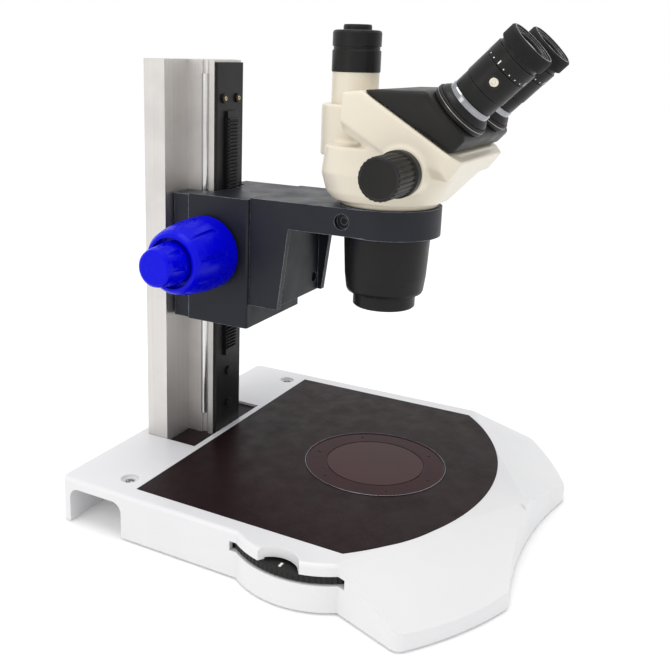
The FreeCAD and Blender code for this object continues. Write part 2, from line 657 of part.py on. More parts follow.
def build_carriage():
    shaped("carriage_body", make_carriage())
    inner_x = d.rod_x + d.rod_r + d.strip_gap
    for side, name in ((-1, "left"), (1, "right")):
        low, high = sorted((inner_x + d.strip_thick, d.carriage_half), key=float)
        outline = [(low, 0), (high, 0), (high, d.jaw_rear - d.carriage_rear - d.carriage_edge),
                   (high - d.carriage_edge, d.jaw_rear - d.carriage_rear),
                   (d.neck_half + 1.5, d.jaw_rear - d.carriage_rear),
                   (d.neck_half + 1.5, d.groove_y + d.rod_r + 1.5 - d.carriage_rear),
                   (low, d.groove_y + d.rod_r + 1.5 - d.carriage_rear)]
        if side < 0:
            outline = [(-across, up) for across, up in reversed(outline)]
        padded(f"guide_jaw_{name}", outline, d.carriage_high - d.carriage_low - 2,
               (0, d.carriage_rear, d.carriage_low + 1))

    strips = []
    for side in (-1, 1):
        ends = sorted((side * inner_x.value, side * (inner_x + d.strip_thick).value))
        strips.append(block(ends[0], d.groove_y - d.rod_r, d.carriage_low + 5,
                            ends[1], d.groove_y + d.rod_r, d.carriage_high - 5))
    shaped("slide_strips", Part.makeCompound(strips))

    bushes = []
    for side in (-1, 1):
        outer = side * d.carriage_half.value
        inner, end = outer - side * d.bush_length.value, outer + side * d.bush_flange.value
        bush = rod(d.bush_r, (inner, d.knob_y, d.knob_z), (outer, d.knob_y, d.knob_z))
        bush = bush.fuse(rod(d.bush_flange_r, (outer, d.knob_y, d.knob_z), (end, d.knob_y, d.knob_z)))
        bore = rod(d.pinion_r + d.running_gap, (inner, d.knob_y, d.knob_z), (end, d.knob_y, d.knob_z))
        bushes.append(bush.cut(bore).removeSplitter())
    shaped("shaft_bushes", Part.makeCompound(bushes))


def build_focus_drive():
    shaped("pinion_shaft", make_pinion_shaft())
    length, end = d.coarse_length, d.coarse_length - d.coarse_recess
    reach = d.fine_start + d.fine_socket - 0.2
    turned("fine_shaft",
           [(0, 0), (d.fine_shaft_r, 0), (d.fine_shaft_r, reach * 2), (0, reach * 2)],
           (-reach, d.knob_y, d.knob_z), ABOUT_X)
    for side, name, turn in ((-1, "left", ABOUT_MINUS_X), (1, "right", ABOUT_X)):
        turned(f"coarse_knob_{name}",
               [(d.pinion_r + 0.02, 0), (d.coarse_r - d.bevel, 0), (d.coarse_r, d.bevel),
                (d.coarse_r, length * 0.3), (d.coarse_r - 0.8, length * 0.5),
                (d.coarse_r - 2.6, length * 0.75), (d.coarse_end_r, length * 0.92),
                (d.coarse_end_r - 2.2, length * 0.98), (d.coarse_end_r - 3.6, length),
                (d.coarse_recess_r, length), (d.coarse_recess_r, end), (d.pinion_r + 0.02, end)],
               (d.coarse_start * side, d.knob_y, d.knob_z), turn)
        cut_flutes(pieces[-1], d.coarse_r + 1, d.flute_r, d.coarse_groove_start, length, 9,
                   SIZES["coarse_groove_taper"])
        turned(f"fine_knob_{name}",
               [(d.fine_shaft_r + 0.01, 0), (d.fine_r - d.bevel / 2, 0), (d.fine_r, d.bevel / 2),
                (d.fine_r, 8), (d.fine_end_r, d.fine_length - 5), (d.fine_end_r - 1.2, d.fine_length - 1.4),
                (d.fine_end_r - 3.2, d.fine_length), (0, d.fine_length),
                (0, d.fine_socket), (d.fine_shaft_r + 0.01, d.fine_socket)],
               (d.fine_start * side, d.knob_y, d.knob_z), turn)
        cut_flutes(pieces[-1], d.fine_r + 1.2, d.fine_flute_r, 9.5, d.fine_length, 8)


# ---------------------------------------------------------------- arm bracket

def make_arm():
    half = float(d.arm_half)
    back = block(-half, d.back_front, d.arm_low, half, d.carriage_front, d.arm_high)
    rib = [(d.back_front + 1, d.arm_low), (d.rib_low_y, d.arm_low),
           (d.rib_high_y, d.arm_plate_low + 1), (d.back_front + 1, d.arm_plate_low + 1)]
    ribs = prism(rib, half).cut(prism(rib, half - float(d.rib_thick)))
    low, high = float(d.arm_plate_low), float(d.arm_high)
    centre, ring_r = float(d.axis_y), float(d.ring_r)
    corners = [Vector(-half, float(d.carriage_front), low), Vector(-half, 20, low),
               Vector(-ring_r, centre, low), Vector(ring_r, centre, low),
               Vector(half, 20, low), Vector(half, float(d.carriage_front), low)]
    plate = Part.Face(Part.makePolygon(corners + corners[:1])).extrude(Vector(0, 0, high - low))
    pocket = block(-half + 9, 14, low - 1, half - 9, d.back_front - 4, high - 8)
    ring = rod(ring_r, (0, centre, d.ring_low), (0, centre, d.ring_high))
    arm = back.fuse([ribs, plate.cut(pocket), ring])
    arm = arm.cut(rod(d.ring_bore_r, (0, centre, 0), (0, centre, 400)))
    arm = arm.cut(rod(d.clamp_head_r, (-60, d.clamp_y, d.clamp_z), (-ring_r + 5, d.clamp_y, d.clamp_z)))
    arm = arm.cut(rod(d.clamp_screw_r + 0.02, (-60, d.clamp_y, d.clamp_z), (0, d.clamp_y, d.clamp_z)))
    for x, z in bracket_screw_spots():
        seat = d.back_front + d.screw_recess
        arm = arm.cut(rod(d.screw_head_r + 0.3, (x, d.back_front - 4, z), (x, seat, z)))
        arm = arm.cut(rod(d.screw_r + 0.02, (x, d.back_front - 5, z), (x, d.carriage_front + 1, z)))
    lightening = block(-half + 18, d.back_front + 6, d.arm_low - 1, half - 18, d.carriage_front + 1, 250)
    arm = arm.cut(lightening)
    return arm.removeSplitter()


def bracket_screw_spots():
    return [(side * 31.5, z) for side in (-1, 1) for z in (194, 241)]


def make_screw(x, z):
    """A socket-head screw into the bracket's back plate, with a hexagon socket."""
    head_y = float(d.back_front + d.screw_recess)
    head = rod(d.screw_head_r, (x, head_y - float(d.screw_head), z), (x, head_y, z))
    shank = rod(d.screw_r, (x, head_y - 1, z), (x, d.carriage_front, z))
    socket = rod(1.8, (x, head_y - float(d.screw_head) - 1, z), (x, head_y - 1.4, z))
    return head.fuse(shank).cut(socket).removeSplitter()


def build_arm():
    shaped("arm_bracket", make_arm())
    shaped("bracket_screws", Part.makeCompound([make_screw(x, z) for x, z in bracket_screw_spots()]))
    length = 5.2
    turned("clamp_screw",
           [(d.screw_r / 2, 0), (d.clamp_screw_r, 0), (d.clamp_screw_r, length), (0, length),
            (0, length - 4), (d.screw_r / 2, length - 4)],
           (-d.ring_r + 5.5, d.clamp_y, d.clamp_z), ABOUT_X)


# ---------------------------------------------------------------- head

def rounded_section(half, front, rear, radius, level):
    """A rounded rectangle across the head at one height."""
    corners = [Vector(-half, front, level), Vector(half, front, level),
               Vector(half, rear, level), Vector(-half, rear, level)]
    face = Part.Face(Part.makePolygon(corners + corners[:1]))
    solid = face.extrude(Vector(0, 0, 1))
    solid = solid.makeFillet(radius, upright_edges(solid, lambda x, y: True))
    bottom = [face for face in solid.Faces if abs(face.BoundBox.ZMax - level) < 1e-6][0]
    return bottom.OuterWire


def bowed_edges(solid, keep):
    """Edges whose middle satisfies keep(point)."""
    found = []
    for edge in solid.Edges:
        if keep(edge.valueAt((edge.FirstParameter + edge.LastParameter) / 2)):
            found.append(edge)
    return found


# the lower head, flange upwards: half width, front y, rear y, corner radius, height above the flange
HEAD_SECTIONS = [(45.5, -81, 10, 38, 0), (50, -86, 12, 34, 7),
                 (55.5, -99, 11, 26, 23), (57, -106, 4, 18, 45)]
# side outlines (y, z) of the upper head and of its cover
HEAD_SHOULDER = [(-14, 337), (-16, 366.6), (-32, 368.6), (-104, 324.6), (-112, 319),
                 (-101, 304), (-60, 312), (-46, 318)]
COVER_OUTSIDE = [(-32.2, 368.9), (-81.84, 370), (-115, 336.84), (-104.2, 324.9)]
COVER_INSIDE = [(-42, 365.4), (-80, 366.2), (-106, 341), (-102.5, 330), (-98.5, 325), (-92, 325)]


def make_head_casting():
    centre = float(d.axis_y)
    flange_high, half = float(d.flange_high), float(d.body_half)
    sections = [rounded_section(*section, flange_high + height) for *section, height in HEAD_SECTIONS]
    lower = Part.makeLoft(sections, True, True)
    shoulder = prism(HEAD_SHOULDER, half)
    under = bowed_edges(shoulder, lambda p: abs(abs(p.x) - half) < 1e-6 and p.z < 330 and p.y > -108)
    shoulder = shoulder.makeChamfer(8, under)
    hump = rod(d.hump_r, (0, 0, d.hump_low), (0, 0, d.hump_high))
    bridge = block(-24, -40, 318, 24, 0, 352)
    solid = lower.fuse([shoulder, hump, bridge])
    boss_r, boss_end = float(d.zoom_flange_r) + 1.5, float(d.zoom_start) - 0.4
    for side in (-1, 1):
        boss_inside, boss_face = (side * 40, d.zoom_y, d.zoom_z), (side * boss_end, d.zoom_y, d.zoom_z)
        solid = solid.fuse(rod(boss_r, boss_inside, boss_face))
    solid = solid.fuse(rod(d.flange_r, (0, centre, d.ring_high + 0.02), (0, centre, flange_high)))
    solid = solid.fuse(rod(d.spigot_r, (0, centre, d.arm_plate_low - 1.2), (0, centre, flange_high)))
    solid = solid.cut(rod(d.light_r, (0, centre, 200), (0, centre, 332)))
    solid = solid.cut(rod(d.thread_r + 0.02, (0, centre, 200), (0, centre, d.thread_high + 0.5)))
    solid = solid.cut(rod(d.photo_r + 0.05, (0, 0, d.photo_seat), (0, 0, 400)))
    shaft_hole = rod(d.zoom_shaft_r + d.running_gap, (-80, d.zoom_y, d.zoom_z), (80, d.zoom_y, d.zoom_z))
    return solid.cut(shaft_hole).removeSplitter()


def eye_point(side, up, out):
    """A point on the eyepiece face: up along the face, and out along the eyepiece axis."""
    slant = math.sqrt(0.5)
    return Vector(side, float(d.face_y) + slant * (up - out), float(d.face_z) + slant * (up + out))


def hinge_offset(side):
    """Where a turret's hinge is: a little outwards of, and below, the eyepiece axis."""
    return side * (d.eye_x.value + d.hinge_side.value), -d.hinge_down.value


def make_head_cover():
    half, wall = float(d.cover_half), float(d.cover_wall)
    cover = prism(COVER_OUTSIDE, half)

    def top_or_side(point):
        return point.z > 369 or (abs(abs(point.x) - half) < 1e-6 and point.y > -99 and point.z > 346)

    edges = bowed_edges(cover, top_or_side)
    cover = rounded(cover, edges, 3.5)
    cover = cover.cut(prism(COVER_INSIDE, half - wall))
    for side in (-1, 1):
        across, up = hinge_offset(side)
        pivot_hole = rod(d.pivot_r + d.running_gap, eye_point(across, up, -12), eye_point(across, up, 12))
        cover = cover.cut(pivot_hole)
    return cover.removeSplitter()


def make_lens_tubes():
    """The two zoom tubes, side by side in a round carrier plate."""
    low, high, tube_r = d.thread_high + 1, 300, float(d.lens_tube_r)
    carrier = rod(d.light_r - 0.1, (0, d.axis_y, low), (0, d.axis_y, low + 3))
    for x in (-d.lens_tube_x, d.lens_tube_x):
        tube = rod(tube_r, (x, d.axis_y, low), (x, d.axis_y, high))
        bore = rod(tube_r - 1.5, (x, d.axis_y, low), (x, d.axis_y, high))
        carrier = carrier.fuse(tube).cut(bore)
    return carrier.removeSplitter()


def build_head():
    shaped("head_casting", make_head_casting())
    shaped("head_cover", make_head_cover())
    height, nose = d.housing_high - d.housing_low, d.housing_low - d.nose_low
    turned("objective_housing",
           [(d.light_r - 3, 0), (d.housing_low_r - 3, 0), (d.housing_low_r - 1, 0.8),
            (d.housing_low_r, 3), (d.housing_low_r + 1.6, height * 0.3), (d.housing_r - 0.6, height * 0.75),
            (d.housing_r, height), (d.thread_r, height), (d.thread_r, d.thread_high - d.housing_low),
            (d.light_r - 3, d.thread_high - d.housing_low)],
           (0, d.axis_y, d.housing_low))
    turned("objective_ring",
           [(d.lens_r - 1.5, 0), (d.nose_r - 1, 0), (d.nose_r, 1), (d.nose_r, nose), (d.light_r - 3, nose),
            (d.light_r - 3, nose + 8), (d.lens_r, nose + 8), (d.lens_r, 3), (d.lens_r - 1.5, 3)],
           (0, d.axis_y, d.nose_low))
    dome = 2.2
    turned("objective_lens",
           [(0, 0), (d.lens_r * 0.45, dome * 0.2), (d.lens_r * 0.8, dome * 0.7), (d.lens_r - 0.05, dome),
            (d.lens_r - 0.05, dome + 3), (0, dome + 3)],
           (0, d.axis_y, d.nose_low + 3.1))

    turned("phototube",
           [(d.port_bore_r + 2, 0), (d.photo_r, 0), (d.photo_r, d.photo_high - d.photo_seat),
            (d.port_bore_r + 2, d.photo_high - d.photo_seat)],
           (0, 0, d.photo_seat))
    height = d.port_high - d.photo_high
    low, high = d.port_groove_low - d.photo_high, d.port_groove_high - d.photo_high
    turned("camera_port",
           [(d.port_bore_r, 0), (d.port_r - d.bevel / 2, 0), (d.port_r, d.bevel / 2),
            (d.port_r, low - d.bevel / 2), (d.port_r - d.bevel, low), (d.port_r - d.bevel, high),
            (d.port_r, high + d.bevel / 2), (d.port_r, height - 2), (d.port_r - 0.7, height - 0.6),
            (d.port_r - 2.2, height),
            (d.cap_r + 0.5, height), (d.cap_r + 0.3, height - 1), (d.port_bore_r, height - 1)],
           (0, 0, d.photo_high))
    turned("port_cap",
           [(0, 0), (d.port_bore_r - 0.1, 0), (d.port_bore_r - 0.1, 12), (d.cap_r, 12),
            (d.cap_r, d.cap_high - d.port_high + 11.6), (d.cap_r - 0.6, d.cap_high - d.port_high + 13),
            (0, d.cap_high - d.port_high + 13)],
           (0, 0, d.port_high - 13))

    shaped("zoom_lens_tubes", make_lens_tubes())
    prisms = []
    for side in (-1, 1):
        glass = prism([(-76, 342), (-54, 355.9), (-54, 364), (-76, 364)], d.prism_half)
        glass.translate(Vector(side * float(d.prism_x), 0, 0))
        prisms.append(glass)
    shaped("eyepiece_prisms", Part.makeCompound(prisms))


def build_zoom():
    reach = d.zoom_start + d.zoom_socket - 0.2
    turned("zoom_shaft",
           [(0, 0), (d.zoom_shaft_r, 0), (d.zoom_shaft_r, reach * 2), (0, reach * 2)],
           (-reach, d.zoom_y, d.zoom_z), ABOUT_X)
    bore = d.zoom_shaft_r + 0.01
    for side, name, turn in ((-1, "left", ABOUT_MINUS_X), (1, "right", ABOUT_X)):
        turned(f"zoom_knob_{name}",
               [(bore, 0), (d.zoom_flange_r - 0.6, 0), (d.zoom_flange_r, 0.6),
                (d.zoom_flange_r, d.zoom_flange),
                (d.zoom_r, d.zoom_flange + 1), (d.zoom_r, d.zoom_length - 1.5),
                (d.zoom_r - 1, d.zoom_length), (d.zoom_r - 2, d.zoom_length),
                (d.zoom_r - 2.4, d.zoom_length - 0.5), (0, d.zoom_length - 0.5), (0, d.zoom_socket),
                (bore, d.zoom_socket)],
               (d.zoom_start * side, d.zoom_y, d.zoom_z), turn)
        cut_flutes(pieces[-1], d.zoom_r + 0.7, d.zoom_flute_r, d.zoom_flange + 1, d.zoom_length, 26)


def make_turret(side):
    """The turning plate that carries an eyepiece: its pivot is off the eyepiece's axis."""
    across, up = hinge_offset(side)
    plate = rod(d.turret_r, eye_point(side * d.eye_x.value, 0, 0.1),
                eye_point(side * d.eye_x.value, 0, float(d.turret_thick)))
    rims = [edge for edge in plate.Edges if edge.Length > 100]
    plate = plate.makeFillet(1.2, rims)
    pivot = rod(d.pivot_r, eye_point(across, up, -float(d.pivot_length)), eye_point(across, up, 2))
    light = rod(d.pivot_r - 2.5, eye_point(across, up, -20), eye_point(across, up, 20))
    seat = rod(d.tube_r - 2.5, eye_point(side * d.eye_x.value, 0, 3), eye_point(side * d.eye_x.value, 0, 20))
    return plate.fuse(pivot).cut([light, seat]).removeSplitter()


def build_eyepieces():
    for side, name in ((-1, "left"), (1, "right")):
        x = d.eye_x * side
        slant = math.sqrt(0.5)

        def station(out):
            return (x, d.face_y - out * slant, d.face_z + out * slant)

        shaped(f"turret_{name}", make_turret(side))
        start, bore = d.turret_thick, d.eye_bore_r
        turned(f"eyepiece_tube_{name}",
               [(bore, 0), (d.tube_r, 0), (d.tube_r, 1.2), (d.tube_ring_r - 0.6, 1.4), (d.tube_ring_r, 2.4),
                (d.tube_ring_r, 8.6), (d.tube_ring_r - 0.6, 9.6), (d.tube_r, 10),
                (d.tube_r, 21), (bore, 21)],
               station(start), EYE_TILT)
        start = d.tube_length
        turned(f"eyepiece_barrel_{name}",
               [(bore, 0), (d.barrel_r - 0.8, 0), (d.barrel_r, 0.8), (d.barrel_r, d.barrel_length - 0.5),
                (d.barrel_r - 0.5, d.barrel_length), (bore, d.barrel_length)],
               station(start + 0.02), EYE_TILT)
        start = start + d.barrel_length
        turned(f"diopter_ring_{name}",
               [(bore, 0), (d.diopter_r - 0.6, 0), (d.diopter_r, 0.6), (d.diopter_r, 11),
                (d.diopter_r - 1.2, 11.6), (d.diopter_r - 1.2, d.diopter_length), (bore, d.diopter_length)],
               station(start + 0.12), EYE_TILT)
        start = start + d.diopter_length
        turned(f"eyecup_{name}",
               [(bore + 1, 0), (d.cup_r - 0.8, 0), (d.cup_r, 0.8), (d.cup_r, d.cup_length - 1.4),
                (d.cup_r - 1, d.cup_length - 0.2), (d.cup_r - 2, d.cup_length),
                (d.cup_r - 3, d.cup_length - 0.8),
                (bore + 2.5, 3), (bore + 1, 3)],
               station(start + 0.12), EYE_TILT)
        turned(f"eye_lens_{name}",
               [(0, 0), (bore - 0.05, 0), (bore - 0.05, 3), (bore * 0.7, 4.2), (0, 5)],
               station(start - 4), EYE_TILT)
        tilt = math.radians(35)
        middle = eye_point(x.value, 0, float(d.tube_length) + 8)
        outward = Vector(side * math.cos(tilt), math.sin(tilt) * slant, math.sin(tilt) * slant)
        foot = middle + outward * (d.barrel_r.value - 3)
        crown = middle + outward * (d.barrel_r.value + d.lock_proud.value)
        screw = rod(d.lock_r, foot, crown)
        barrel = pieces[-4]
        doc.recompute()
        sleeve = rod(d.barrel_r - 0.4, eye_point(x.value, 0, 10), eye_point(x.value, 0, 60))
        shaped(f"lock_screw_{name}", screw.cut(sleeve).cut(barrel.Shape))


# ---------------------------------------------------------------- checks and files

def check_pieces():
    doc.recompute()
    for item in doc.Objects:
        if "Invalid" in item.State or "Error" in item.State:
            raise RuntimeError(f"{item.Label} failed: {item.State}")
    for piece in pieces:
        if piece.Shape.isNull() or not piece.Shape.isValid() or not piece.Shape.Solids:
            raise RuntimeError(f"{piece.Label} has no valid solid")


def write_pieces():
    os.makedirs("parts", exist_ok=True)
    for piece in pieces:
        piece.Shape.exportStep(f"parts/{piece.Label}.step")
        print(f"{piece.Label}: {len(piece.Shape.Solids)} solids, {piece.Shape.Volume:.0f} mm3")


build_base()
build_mirror()
build_column()
build_carriage()
build_focus_drive()
build_arm()
build_head()
build_zoom()
build_eyepieces()
check_pieces()
write_pieces()
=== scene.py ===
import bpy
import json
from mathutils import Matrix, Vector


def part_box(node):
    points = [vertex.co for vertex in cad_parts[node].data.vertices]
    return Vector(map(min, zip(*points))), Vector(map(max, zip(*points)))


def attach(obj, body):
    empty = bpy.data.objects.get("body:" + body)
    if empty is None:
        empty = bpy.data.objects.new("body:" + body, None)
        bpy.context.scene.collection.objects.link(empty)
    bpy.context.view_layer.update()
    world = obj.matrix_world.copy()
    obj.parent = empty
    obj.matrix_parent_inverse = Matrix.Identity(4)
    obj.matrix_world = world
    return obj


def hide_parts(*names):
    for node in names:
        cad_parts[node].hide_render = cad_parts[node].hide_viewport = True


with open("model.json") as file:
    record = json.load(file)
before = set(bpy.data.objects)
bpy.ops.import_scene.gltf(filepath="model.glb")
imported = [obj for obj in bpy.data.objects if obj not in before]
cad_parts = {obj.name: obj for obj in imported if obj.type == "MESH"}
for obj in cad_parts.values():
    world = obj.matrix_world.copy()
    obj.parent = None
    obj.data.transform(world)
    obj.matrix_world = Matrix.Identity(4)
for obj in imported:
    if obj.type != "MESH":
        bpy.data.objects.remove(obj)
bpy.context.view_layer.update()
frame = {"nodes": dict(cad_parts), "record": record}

import json
import math

import bmesh
import bpy
from mathutils import Matrix, Vector

nodes = frame["nodes"]
MM = 0.001


# ---------------------------------------------------------------- camera, light, floor

CAMERA_PLACE = (-0.6777, -0.3076, 0.3936)
CAMERA_RIGHT = (0.4818, -0.8759, 0.0252)
CAMERA_UP = (0.2008, 0.1384, 0.9698)
CAMERA_BACK = (-0.8529, -0.4622, 0.2426)
CAMERA_LENS = 47.42
CAMERA_SHIFT = (0.0721, -0.0904)
LIGHT_TARGET = (0.0, 0.0, 0.2)
FLOOR_REACH = 6.0


def make_camera():
    """The camera at the reference view: left of the instrument, a little above it."""
    data = bpy.data.cameras.new("view_camera")
    data.sensor_width = 36.0
    data.lens = CAMERA_LENS
    data.shift_x, data.shift_y = CAMERA_SHIFT
    data.clip_start = 0.02
    data.clip_end = 50.0
    camera = bpy.data.objects.new("view_camera", data)
    bpy.context.scene.collection.objects.link(camera)
    turn = Matrix((CAMERA_RIGHT, CAMERA_UP, CAMERA_BACK)).transposed().to_4x4()
    camera.matrix_world = Matrix.Translation(CAMERA_PLACE) @ turn
    bpy.context.scene.camera = camera


def make_area_light(name, place, size, power, colour):
    """A soft rectangular light, turned towards the middle of the instrument."""
    data = bpy.data.lights.new(name, "AREA")
    data.shape = "RECTANGLE"
    data.size, data.size_y = size
    data.energy = power
    data.color = colour
    light = bpy.data.objects.new(name, data)
    bpy.context.scene.collection.objects.link(light)
    light.location = place
    light.rotation_mode = "QUATERNION"
    light.rotation_quaternion = (Vector(LIGHT_TARGET) - Vector(place)).to_track_quat("-Z", "Y")


def make_studio():
    """Soft light from above and from the left, on a plain pale floor."""
    bpy.context.scene.view_settings.view_transform = "Standard"
    world = bpy.data.worlds.new("studio")
    bpy.context.scene.world = world
    world.use_nodes = True
    sky = world.node_tree.nodes["Background"]
    sky.inputs["Color"].default_value = (1.0, 1.0, 1.0, 1.0)
    sky.inputs["Strength"].default_value = 1.0
    make_area_light("overhead_light", (-0.3, 0.0, 1.7), (0.9, 0.9), 8.0, (1.0, 0.99, 0.97))
    make_area_light("left_light", (-1.6, 0.5, 0.9), (0.8, 1.2), 4.5, (1.0, 0.95, 0.9))

    mesh = bpy.data.meshes.new("floor")
    turns = ((-1, -1), (1, -1), (1, 1), (-1, 1))
    corners = [(x * FLOOR_REACH, y * FLOOR_REACH, 0) for x, y in turns]
    mesh.from_pydata(corners, [], [(0, 1, 2, 3)])
    floor = bpy.data.objects.new("floor", mesh)
    bpy.context.scene.collection.objects.link(floor)
    mesh.materials.append(make_floor_material())


def make_floor_material():
    """Pale matt floor; a faint glow keeps its far side as white as the sky."""
    material = bpy.data.materials.new("pale_floor")
    material.use_nodes = True
    shader = material.node_tree.nodes["Principled BSDF"]
    shader.inputs["Base Color"].default_value = (0.93, 0.93, 0.93, 1.0)
    shader.inputs["Roughness"].default_value = 0.9
    shader.inputs["Specular IOR Level"].default_value = 0.1
    shader.inputs["Emission Color"].default_value = (1.0, 1.0, 1.0, 1.0)
    shader.inputs["Emission Strength"].default_value = 0.08
    return material


# ---------------------------------------------------------------- materials

class Surface:
    """A Principled material with helpers for procedural colour, roughness and relief."""

    def __init__(self, name, roughness, metallic=0.0, coat=0.0, specular=0.5):
        self.material = bpy.data.materials.new(name)
        self.material.use_nodes = True
        self.tree = self.material.node_tree
        self.shader = self.tree.nodes["Principled BSDF"]
        self.set("Roughness", roughness)
        self.set("Metallic", metallic)
        self.set("Coat Weight", coat)
        self.set("Coat Roughness", 0.12)
        self.set("Specular IOR Level", specular)
        self.place = self.tree.nodes.new("ShaderNodeTexCoord").outputs["Object"]
        self.normal = None

    def set(self, socket, value):
        self.shader.inputs[socket].default_value = value

    def link(self, start, end):
        self.tree.links.new(start, end)

    def stretched(self, scale):
        """Object coordinates scaled unevenly, for grain that runs one way."""
        mapping = self.tree.nodes.new("ShaderNodeMapping")
        mapping.inputs["Scale"].default_value = scale
        self.link(self.place, mapping.inputs["Vector"])
        return mapping.outputs["Vector"]

    def noise(self, scale, detail=3.0, vector=None, roughness=0.55):
        node = self.tree.nodes.new("ShaderNodeTexNoise")
        node.inputs["Scale"].default_value = scale
        node.inputs["Detail"].default_value = detail
        node.inputs["Roughness"].default_value = roughness
        self.link(vector or self.place, node.inputs["Vector"])
        return node.outputs["Fac"]

    def remap(self, value, low, high, to_low, to_high):
        node = self.tree.nodes.new("ShaderNodeMapRange")
        node.inputs["From Min"].default_value = low
        node.inputs["From Max"].default_value = high
        node.inputs["To Min"].default_value = to_low
        node.inputs["To Max"].default_value = to_high
        self.link(value, node.inputs["Value"])
        return node.outputs["Result"]

    def mix(self, factor, first, second):
        """Colour between two colours; either may be a socket."""
        node = self.tree.nodes.new("ShaderNodeMix")
        node.data_type = "RGBA"
        self.link(factor, node.inputs[0])
        for socket, colour in ((node.inputs[6], first), (node.inputs[7], second)):
            if isinstance(colour, tuple):
                socket.default_value = (*colour, 1.0)
            else:
                self.link(colour, socket)
        return node.outputs[2]

    def colour(self, source):
        self.link(source, self.shader.inputs["Base Color"])

    def rough(self, source, low, high):
        self.link(self.remap(source, 0.3, 0.7, low, high), self.shader.inputs["Roughness"])

    def soft_edges(self, radius):
        """Rounds the shading of sharp edges, so that they catch the light."""
        bevel = self.tree.nodes.new("ShaderNodeBevel")
        bevel.samples = 4
        bevel.inputs["Radius"].default_value = radius
        self.normal = bevel.outputs["Normal"]
        self.link(self.normal, self.shader.inputs["Normal"])

    def relief(self, height, strength, distance):
        bump = self.tree.nodes.new("ShaderNodeBump")
        bump.inputs["Strength"].default_value = strength
        bump.inputs["Distance"].default_value = distance
        self.link(height, bump.inputs["Height"])
        if self.normal is not None:
            self.link(self.normal, bump.inputs["Normal"])
        self.normal = bump.outputs["Normal"]
        self.link(self.normal, self.shader.inputs["Normal"])

    def edge_wear_and_highlight(self, base, wear_and_highlight_colour, amount, radius=0.0007):
        """Mixes in a lighter colour along sharp edges, where a rounded normal leans from the true one: partly
        rubbed wear, partly a painted highlight where edges catch the light.
        """
        bevel = self.tree.nodes.new("ShaderNodeBevel")
        bevel.samples = 4
        bevel.inputs["Radius"].default_value = radius
        geometry = self.tree.nodes.new("ShaderNodeNewGeometry")
        lean = self.tree.nodes.new("ShaderNodeVectorMath")
        lean.operation = "DOT_PRODUCT"
        self.link(bevel.outputs["Normal"], lean.inputs[0])
        self.link(geometry.outputs["Normal"], lean.inputs[1])
        # painted highlight with rubbing: this mask lightens every sharp edge, broken into patches by noise
        edges = self.remap(lean.outputs["Value"], 0.995, 0.86, 0.0, amount)
        patches = self.remap(self.noise(140.0, 5.0), 0.36, 0.6, 0.35, 1.0)
        product = self.tree.nodes.new("ShaderNodeMath")
        product.operation = "MULTIPLY"
        self.link(edges, product.inputs[0])
        self.link(patches, product.inputs[1])
        return self.mix(product.outputs["Value"], base, wear_and_highlight_colour)


def enamel(name, light, dark, wear_and_highlight_colour):
    """Sprayed enamel: faint cloudiness, orange peel, fine dust, and slightly rubbed edges painted lighter,
    which also serve as a painted highlight.
    """
    surface = Surface(name, 0.36, coat=0.25)
    clouds = surface.remap(surface.noise(9.0, 4.0), 0.3, 0.7, 0.0, 1.0)
    tone = surface.mix(clouds, light, dark)
    dust = surface.remap(surface.noise(900.0, 2.0), 0.62, 0.8, 0.0, 0.25)
    tone = surface.mix(dust, tone, tuple(0.7 * part for part in dark))
    # lighter edges: rubbed wear together with a painted highlight
    surface.colour(surface.edge_wear_and_highlight(tone, wear_and_highlight_colour, 0.5))
    surface.rough(surface.noise(30.0, 5.0), 0.3, 0.44)
    surface.soft_edges(0.0006)
    surface.relief(surface.noise(650.0, 2.0), 0.12, 0.0002)
    return surface.material


def textured_black(name, light, dark, grain, roughness,
                   wear_and_highlight_colour=(0.16, 0.16, 0.17), wear=0.35, strength=0.25):
    """Dark plastic or paint with a moulded grain, and edges painted lighter: rubbed wear together with a
    painted highlight where they catch the light.
    """
    surface = Surface(name, roughness, specular=0.2)
    clouds = surface.remap(surface.noise(18.0, 5.0), 0.3, 0.7, 0.0, 1.0)
    tone = surface.mix(clouds, light, dark)
    # painted highlight with rubbing: the lighter colour mixed in along the edges
    surface.colour(surface.edge_wear_and_highlight(tone, wear_and_highlight_colour, wear))
    surface.rough(surface.noise(45.0, 6.0), roughness - 0.07, roughness + 0.09)
    surface.soft_edges(0.0005)
    surface.relief(surface.noise(grain, 3.0), strength, 0.0003)
    return surface.material


def speckled_plate():
    """The stage plate: matt black laminate with fine pale specks; its wine tint is painted light, the maroon
    cast of light falling from above.
    """
    surface = Surface("black_stage_laminate", 0.42, specular=0.1)
    clouds = surface.remap(surface.noise(12.0, 5.0), 0.3, 0.7, 0.0, 1.0)
    # painted light: the wine-red in these near-black tones, and in the pale specks below, is the maroon cast
    # of light from above
    tone = surface.mix(clouds, (0.013, 0.0035, 0.0045), (0.008, 0.0022, 0.003))
    specks = surface.remap(surface.noise(1500.0, 1.0), 0.66, 0.74, 0.0, 0.8)
    surface.colour(surface.mix(specks, tone, (0.07, 0.04, 0.045)))
    surface.rough(surface.noise(60.0, 6.0), 0.34, 0.5)
    surface.relief(surface.noise(1300.0, 2.0), 0.3, 0.0002)
    return surface.material


def brushed_metal(name, light, dark, roughness, scale, strength=0.12):
    """Metal with drawn or turned lines along one direction."""
    surface = Surface(name, roughness, metallic=1.0)
    lines = surface.noise(1.0, 4.0, surface.stretched(scale), 0.7)
    tone = surface.mix(surface.remap(lines, 0.3, 0.7, 0.0, 1.0), light, dark)
    stains = surface.remap(surface.noise(25.0, 6.0), 0.5, 0.75, 0.0, 0.25)
    surface.colour(surface.mix(stains, tone, tuple(0.6 * part for part in dark)))
    surface.rough(lines, roughness - 0.06, roughness + 0.08)
    surface.soft_edges(0.0004)
    surface.relief(lines, strength, 0.00015)
    return surface.material


